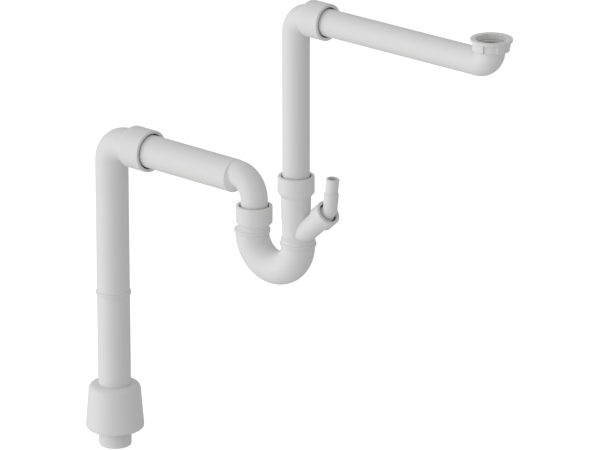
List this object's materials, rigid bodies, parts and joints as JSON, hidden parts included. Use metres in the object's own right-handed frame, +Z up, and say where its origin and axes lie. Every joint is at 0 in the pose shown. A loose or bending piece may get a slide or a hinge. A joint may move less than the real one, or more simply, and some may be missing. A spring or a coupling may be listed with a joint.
{
  "type": "waste trap",
  "caption": "Space-saving sink waste trap in white plastic: U-bend with a hose branch, long upper pipe to a union nut, large offset drain pipe and floor cover, all joined by push-fit swivels.",
  "frame": {"origin": "centre of the sink nut's mouth, where the sink outlet's thread enters", "axes": "+Z up out of the nut's mouth, +X level, from the drop pipe towards the sink nut, +Y level, across the plane that holds all the pipe axes"},
  "size_m": [0.8146, 0.0892, 0.7995],
  "materials": {
    "white_plastic": "smooth moulded, semi-matte",
    "rubber": "matt moulded rubber",
    "pale_rubber": "matt moulded rubber"
  },
  "bodies": {
    "sink_nut": {"sink_union_nut": "white_plastic"},
    "connector": {"sink_connector": "white_plastic", "sink_gasket": "pale_rubber"},
    "reach_seal": {"drop_socket_seal": "rubber"},
    "drop": {"drop_pipe": "white_plastic", "drop_socket_ring": "white_plastic"},
    "height_seal": {"inlet_seal": "rubber"},
    "trap": {"inlet_leg": "white_plastic", "inlet_ring": "white_plastic", "u_bend": "white_plastic", "outlet_socket": "white_plastic", "outlet_ring": "white_plastic", "nozzle_seal": "rubber", "nozzle_ring": "white_plastic"},
    "nozzle": {"hose_nozzle": "white_plastic"},
    "turn_seal": {"outlet_seal": "rubber"},
    "outlet": {"outlet_bend": "white_plastic"},
    "link_seal": {"floor_socket_seal": "rubber"},
    "floor": {"floor_elbow": "white_plastic", "floor_tail": "white_plastic", "floor_socket_ring": "white_plastic"},
    "cover": {"floor_cover": "white_plastic"}
  },
  "joints": [
    {"name": "sink_swivel", "type": "hinge", "parent": "sink_nut", "child": "connector", "pos_m": [0, 0, -0.0137], "axis": [0, 0, 1], "continuous": true},
    {"name": "reach_slide", "type": "slide", "parent": "connector", "child": "reach_seal", "axis": [1, 0, 0], "range_m": [-0.01, 0.0085]},
    {"name": "drop_swing", "type": "hinge", "parent": "reach_seal", "child": "drop", "pos_m": [-0.3035, 0, -0.0385], "axis": [1, 0, 0], "continuous": true},
    {"name": "height_slide", "type": "slide", "parent": "drop", "child": "height_seal", "axis": [0, 0, 1], "range_m": [-0.018, 0.025]},
    {"name": "trap_swivel", "type": "hinge", "parent": "height_seal", "child": "trap", "pos_m": [-0.366, 0, -0.2825], "axis": [0, 0, 1], "continuous": true},
    {"name": "nozzle_swivel", "type": "hinge", "parent": "trap", "child": "nozzle", "pos_m": [-0.29986, 0, -0.32245], "axis": [0.7431, 0, 0.6691], "continuous": true},
    {"name": "outlet_swivel", "type": "hinge", "parent": "trap", "child": "turn_seal", "pos_m": [-0.449, 0, -0.347], "axis": [0, 0, 1], "range_deg": [-130, 130]},
    {"name": "outlet_lift", "type": "slide", "parent": "turn_seal", "child": "outlet", "axis": [0, 0, 1], "range_m": [0, 0.015]},
    {"name": "link_slide", "type": "slide", "parent": "outlet", "child": "link_seal", "axis": [1, 0, 0], "range_m": [-0.01, 0.0125]},
    {"name": "floor_swing", "type": "hinge", "parent": "link_seal", "child": "floor", "pos_m": [-0.657, 0, -0.3102], "axis": [1, 0, 0], "continuous": true},
    {"name": "cover_slide", "type": "slide", "parent": "floor", "child": "cover", "axis": [0, 0, 1], "range_m": [-0.02, 0.12]}
  ]
}
